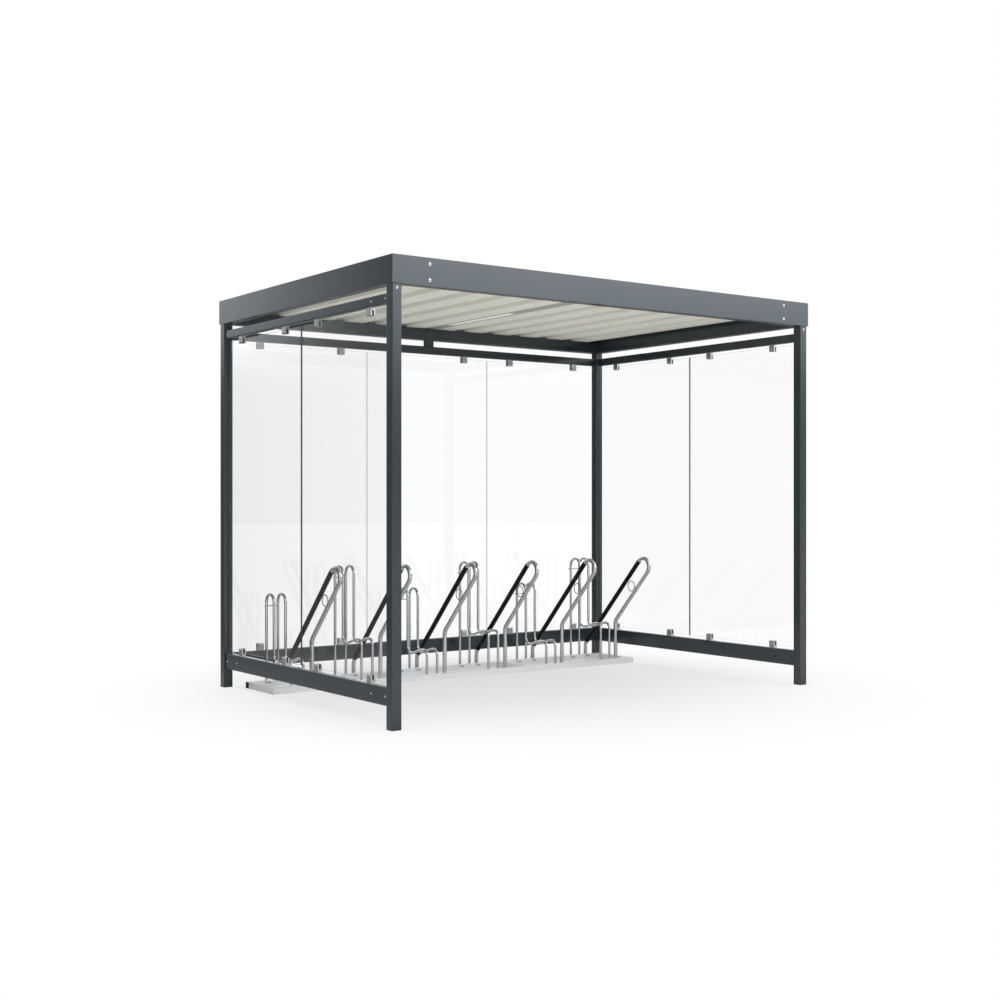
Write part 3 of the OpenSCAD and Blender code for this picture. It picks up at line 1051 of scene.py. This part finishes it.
@dataclass
class CycleRack:
    """Ground rails, wheel holders and leaning hoops, with weld beads, screws and the rails' end plates."""

    stations: int = 6
    station_pitch: float = 0.500
    slot_from_end: float = 0.175
    hoop_from_slot: float = 0.100
    slot_w: float = 0.081
    bar_r: float = 0.009
    hoop_r: float = 0.014
    sections: int = 3
    section_pitch: float = 1.000
    section_joint: float = 0.002
    member_w: float = 0.040
    rail_wall: float = 0.003
    plate_t: float = 0.002
    screw_spread: float = 0.0092
    screw_z: float = 0.029
    screw: SocketScrew = SocketScrew(head_r=0.005, head_h=0.0022)

    def dress(self, nodes: Nodes) -> None:
        """Galvanises the rails and bars, in a lighter and a darker copy of one zinc as painted light and
        painted shade, and gives loops and sleeves their wire and rubber.

        Args:
            nodes: The frame's pieces by name.
        """
        hoops = [f"leaning_hoop_{i + 1}" for i in range(self.stations)]
        # Rails and bars get the lighter and the darker copy of one zinc: painted light and painted shade.
        dress(nodes, ["rack_front_rail", "rack_back_rail", "rack_cross_members"], Paint.ZINC)
        dress(nodes, ["low_wheel_holders", "high_wheel_holders", *hoops], Paint.BARS)
        dress(nodes, ["lock_loops"], Paint.WIRE)
        dress(nodes, ["hoop_sleeves"], Paint.SLEEVE)

    def build(self) -> None:
        """Adds the weld beads, the screws under the rear legs and what closes the rails' ends."""
        self._build_foot_welds()
        self._build_member_welds()
        self._build_leg_screws()
        self._build_rail_ends("rail_end_plates", "rack_front_rail", Paint.ZINC)
        # The back rail's ends are closed with black plates: painted shade in place of the dark hollow of its
        # open ends.
        self._build_rail_ends("rail_end_plugs", "rack_back_rail", Paint.PLUG)

    def _slots(self, left: float) -> Array:
        """Gives the middle of every wheel slot, from the rack's left end."""
        return left + self.slot_from_end + np.arange(self.stations) * self.station_pitch

    def _build_foot_welds(self) -> None:
        """Adds a bead round every foot of the wheel holders and of the hoops."""
        rails = [corners(f"rack_{side}_rail") for side in FRONT_BACK]
        rows = [(low[1] + high[1]) / 2 for low, high in rails]
        (left, _, _), (_, _, top) = rails[0]
        slots = self._slots(left)
        bars = np.concatenate((slots - self.slot_w / 2, slots + self.slot_w / 2))
        holders, hoops = (
            WeldRing(radius).surface().stamped(crossings(feet, rows, top), UP)
            for feet, radius in ((bars, self.bar_r), (slots + self.hoop_from_slot, self.hoop_r))
        )
        add_piece("foot_welds", holders + hoops, Paint.ZINC)

    def _build_member_welds(self) -> None:
        """Adds a bead along the top of both ends of every cross member."""
        low, high = corners("rack_cross_members")
        firsts = low[0] + np.arange(self.sections) * self.section_pitch
        ends = np.minimum(firsts + self.section_pitch - self.section_joint, high[0])
        middles = np.concatenate((firsts + self.member_w / 2, ends - self.member_w / 2))
        places = crossings(middles, [low[1], high[1]], high[2])
        surface = WeldSeam(self.member_w).surface().stamped(places, (1.0, 0.0, 0.0))
        add_piece("member_welds", surface, Paint.ZINC)

    def _build_leg_screws(self) -> None:
        """Adds a pair of dark screws to the back rail's front face under the legs of every station."""
        low, _ = corners("rack_back_rail")
        slots = self._slots(low[0])
        legs = np.concatenate((slots - self.slot_w / 2, slots + self.hoop_from_slot))
        x = np.concatenate((legs - self.screw_spread, legs + self.screw_spread))
        places = np.stack(np.broadcast_arrays(x, low[1], self.screw_z), axis=-1)
        screws = self.screw.surface().stamped(places, (0.0, -1.0, 0.0))
        add_piece("leg_screws", screws, Paint.PLUG)

    def _build_rail_ends(self, name: str, rail: str, paint: Paint) -> None:
        """Closes both ends of a ground rail with a plate between its walls.

        Args:
            name: The plates' name.
            rail: The rail.
            paint: The plates' finish.
        """
        low, high = corners(rail)
        near, far = low[1] + self.rail_wall, high[1] - self.rail_wall
        bottom, top = low[2], high[2] - self.rail_wall
        left, right = (
            np.array([(x, near, bottom), (x, far, bottom), (x, far, top), (x, near, top)])
            for x in (low[0], high[0] - self.plate_t)
        )
        way = (self.plate_t, 0.0, 0.0)
        add_piece(name, extruded(left, way) + extruded(right, way), paint)


# Studio


@dataclass(frozen=True)
class SoftBox:
    """Large even light that falls on the shelter and doesn't show in it."""

    name: str
    place: Point
    aim: Point
    width: float
    height: float
    radiance: float

    def build(self) -> None:
        """Adds the light: its power is pi times radiance times area."""
        light = bpy.data.lights.new(self.name, "AREA")
        light.shape = "RECTANGLE"
        light.size = self.width
        light.size_y = self.height
        light.energy = math.pi * self.radiance * self.width * self.height
        lamp = bpy.data.objects.new(self.name, light)
        lamp.location = self.place
        lamp.rotation_euler = (Vector(self.aim) - Vector(self.place)).to_track_quat("-Z", "Y").to_euler()
        lamp.visible_camera = False
        lamp.visible_glossy = False
        bpy.context.scene.collection.objects.link(lamp)
        LOG.info("lit %s", self.name)


@dataclass(frozen=True)
class Panel:
    """Bright panel in the surroundings, which glossy surfaces mirror.

    Its strength climbs smoothly over its near edge and its foot, and falls over its far edge. The edges are
    angles round the shelter in radians, and the foot is the height of a direction of length 1.
    """

    strength: float
    near: Span
    far: Span
    foot: Span = ANY_HEIGHT
    haze: float = 0.0

    def shown(self, turn: Signal, height: Signal) -> Signal:
        """Gives the panel's strength in a direction of that angle and height."""
        across = turn.rise(*self.near) * (1.0 - turn.rise(*self.far))
        return (self.haze + self.strength * height.rise(*self.foot)) * across


@dataclass
class Studio:
    """Pale floor, white surroundings, soft light and the camera."""

    eye: Point = (-5.3131, -7.2524, 1.2008)
    heading_deg: float = 35.606
    lens_mm: float = 50.0
    sensor_mm: float = 36.0
    ambient: float = 0.58
    mirrored: float = 0.2
    mirrored_tint: Colour = (0.94, 0.99, 1.05, 1.0)
    front_panel: Panel = Panel(4.5, near=(0.2, 0.6), far=(1.0, 1.4), foot=(0.074, 0.173), haze=0.28)
    left_panel: Panel = Panel(2.2, near=(0.0, 0.2), far=(0.37, 0.545), foot=(0.08, 0.13))
    rear_panel: Panel = Panel(1.2, near=(0.1, 0.4), far=(0.9, 1.2))
    back_panel: Panel = Panel(1.0, near=(0.2, 0.4), far=(0.85, 1.05), foot=(0.03, 0.09))
    floor_r: float = 60.0
    floor_sides: int = 48
    floor_grey: float = 0.88
    floor_soft: float = 0.38
    floor_lift: float = 0.36
    floor_mirrored: float = 0.5
    floor_mirrored_front: float = 1.2
    floor_ahead: Span = (0.8, 2.0)
    floor_beside: Span = (1.6, 2.1)
    floor_fade: Span = (0.5, 2.9)
    floor_dim: Span = (2.2, 5.0)
    boxes: tuple[SoftBox, ...] = (
        SoftBox("front_left_box", (-6.0, -11.0, 7.4), (0.0, 0.0, 1.6), 10.0, 7.0, 2.2),
        SoftBox("front_right_box", (6.0, -11.0, 7.4), (0.0, 0.0, 1.6), 10.0, 7.0, 1.7),
        SoftBox("back_box", (-4.6, 11.0, 6.0), (-0.5, 0.0, 1.5), 6.0, 7.0, 1.5),
        SoftBox("top_box", (0.0, -1.0, 11.0), (0.0, 0.0, 0.0), 9.0, 9.0, 1.2),
    )

    def build(self) -> None:
        """Sets up the camera, the light, the surroundings and the floor."""
        bpy.context.scene.view_settings.view_transform = "Standard"
        self._build_camera()
        for box in self.boxes:
            box.build()
        self._build_world()
        self._build_floor()

    def _build_camera(self) -> None:
        """Adds the level camera, turned from +Y towards +X by its heading."""
        data = bpy.data.cameras.new("camera")
        data.lens = self.lens_mm
        data.sensor_width = self.sensor_mm
        camera = bpy.data.objects.new("camera", data)
        camera.location = self.eye
        camera.rotation_euler = (math.radians(90.0), 0.0, -math.radians(self.heading_deg))
        bpy.context.scene.collection.objects.link(camera)
        bpy.context.scene.camera = camera

    def _panels(self, shader: Shader) -> Signal:
        """Gives the panels that glossy surfaces mirror.

        Args:
            shader: The shader of the surroundings.

        Returns:
            The panels' strength in the shader's direction.
        """
        way = shader.place()
        x, y, z = (shader.part(way, axis) for axis in range(3))
        from_front, from_back = x.angle(-y), (-x).angle(y)
        front, left = self.front_panel.shown(from_front, z), self.left_panel.shown(from_back, z)
        rear, back = self.rear_panel.shown(-from_front, z), self.back_panel.shown(-from_back, z)
        return front + left + rear + back

    def _build_world(self) -> None:
        """Surrounds the shelter with even light, white for the camera and with panels for glossy surfaces."""
        world = bpy.data.worlds.new("surroundings")
        world.use_nodes = True
        bpy.context.scene.world = world
        shader = Shader(world.node_tree, "ShaderNodeOutputWorld")
        seen, glossy = shader.seen(), shader.ray("Glossy")
        strength = self.ambient + (1.0 - self.ambient) * seen
        even = shader.node("ShaderNodeBackground", inputs={"Color": WHITE, "Strength": strength})
        shown = self.mirrored + self._panels(shader)
        panels = shader.node("ShaderNodeBackground", inputs={"Color": self.mirrored_tint, "Strength": shown})
        shader.close(shader.node("ShaderNodeMixShader", inputs={0: glossy, 1: even, 2: panels}))

    def _build_floor(self) -> None:
        """Lays a flat round floor that takes the shelter's shadow and turns plain white away from it."""
        angle = np.arange(self.floor_sides) * math.tau / self.floor_sides
        rim = np.stack((np.cos(angle), np.sin(angle), np.zeros_like(angle)), axis=-1) * self.floor_r
        mesh = bpy.data.meshes.new("floor")
        mesh.from_pydata(rim.tolist(), [], [list(range(self.floor_sides))])
        mesh.materials.append(self._floor_material())
        floor = bpy.data.objects.new("floor", mesh)
        bpy.context.scene.collection.objects.link(floor)

    def _floor_material(self) -> bpy.types.Material:
        """Makes the floor's material.

        It is pale grey, and softer where it is looked at. With distance it turns plain white for the camera,
        and to even tones for glossy surfaces: brighter in front of the shelter than beside and behind it.

        Returns:
            The material.
        """
        coat = Coat("floor")
        place = coat.place()
        distance = coat.node("ShaderNodeVectorMath", {"operation": "LENGTH"}, {0: place}, output="Value")
        x, y = (coat.part(place, axis) for axis in range(2))
        seen, glossy = coat.seen(), coat.ray("Glossy")
        grey = self.floor_grey * (1.0 - self.floor_soft * seen)
        matt = coat.node("ShaderNodeBsdfDiffuse", inputs={"Color": grey})
        ahead = (-y).rise(*self.floor_ahead)
        lifted = self.floor_lift * (seen + ahead * glossy)
        lift = coat.node("ShaderNodeEmission", inputs={"Strength": lifted})
        near = coat.node("ShaderNodeAddShader", inputs={0: matt, 1: lift})
        beside = (-x).rise(*self.floor_beside) * (1.0 - ahead)
        dim = distance.rise(*self.floor_dim)
        elsewhere = self.floor_mirrored - (self.floor_mirrored - self.mirrored) * dim
        mirrored = elsewhere * (1.0 - ahead) + self.floor_mirrored_front * ahead
        far = coat.node("ShaderNodeEmission", inputs={"Strength": seen + mirrored * glossy})
        faded = distance.rise(*self.floor_fade)
        share = faded * seen + (dim + beside).at_most(1.0) * glossy
        coat.close(coat.node("ShaderNodeMixShader", inputs={0: share, 1: near, 2: far}))
        return coat.material


def main() -> None:
    """Loads the frame, dresses it, adds its fasteners and sets up the studio."""
    logging.basicConfig(level=logging.INFO, format="%(message)s")
    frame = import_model()
    Studio().build()
    for assembly in (SteelFrame(), Roof(), GlassWalls(), CycleRack()):
        assembly.dress(frame["nodes"])
        assembly.build()


if __name__ == "__main__":
    main()
